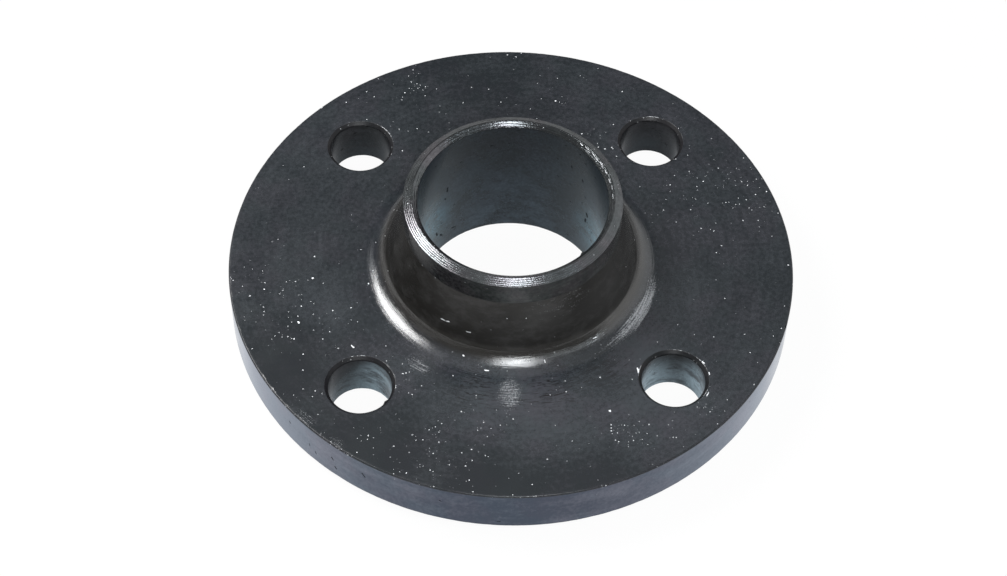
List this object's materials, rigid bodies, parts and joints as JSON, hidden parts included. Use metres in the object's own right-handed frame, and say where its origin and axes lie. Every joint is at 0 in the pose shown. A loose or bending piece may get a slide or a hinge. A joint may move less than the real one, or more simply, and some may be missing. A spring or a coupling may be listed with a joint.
{
  "type": "weld neck flange",
  "caption": "Round pipe flange with a raised sealing face, bolt holes and a tapered hub ending in a bevelled neck that is butt welded to a pipe.",
  "frame": {"origin": "centre of the raised sealing face, which the flange rests on", "axes": "+Z along the bore from the sealing face to the weld end; the bolt holes straddle the X and Y centre lines"},
  "size_m": [0.165, 0.165, 0.046],
  "materials": {
    "lacquered_steel": "thin glossy to satin black lacquer over turned steel, with chipped specks"
  },
  "bodies": {
    "root": {"weld_neck_flange": "lacquered_steel"}
  },
  "joints": []
}
